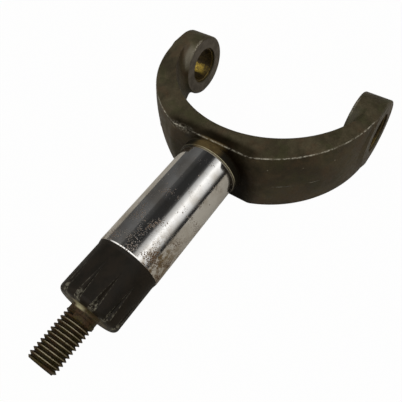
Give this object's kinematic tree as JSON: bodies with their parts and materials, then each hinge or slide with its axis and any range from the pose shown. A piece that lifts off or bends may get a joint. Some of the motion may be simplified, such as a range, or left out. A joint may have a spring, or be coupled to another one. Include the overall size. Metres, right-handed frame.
{
  "type": "shift fork",
  "caption": "Forged C-shaped yoke with a bushed eye at each tip, on a ground journal that ends in a fluted seat and a threaded stud.",
  "frame": {"origin": "middle of the eyes' common axis, halfway between the two eyes", "axes": "+X along the shank towards the stud, Y along the eyes' common axis, +Z square to the plane of the C"},
  "size_m": [0.2674, 0.1658, 0.0498],
  "materials": {
    "forged_steel": "dark oily forging with a ground journal, a blackened seat and a rusty thread",
    "bush_bronze": "worn bronze with dark oil in its pores"
  },
  "bodies": {
    "root": {"fork": "forged_steel", "bush_left": "bush_bronze", "bush_right": "bush_bronze"}
  },
  "joints": []
}
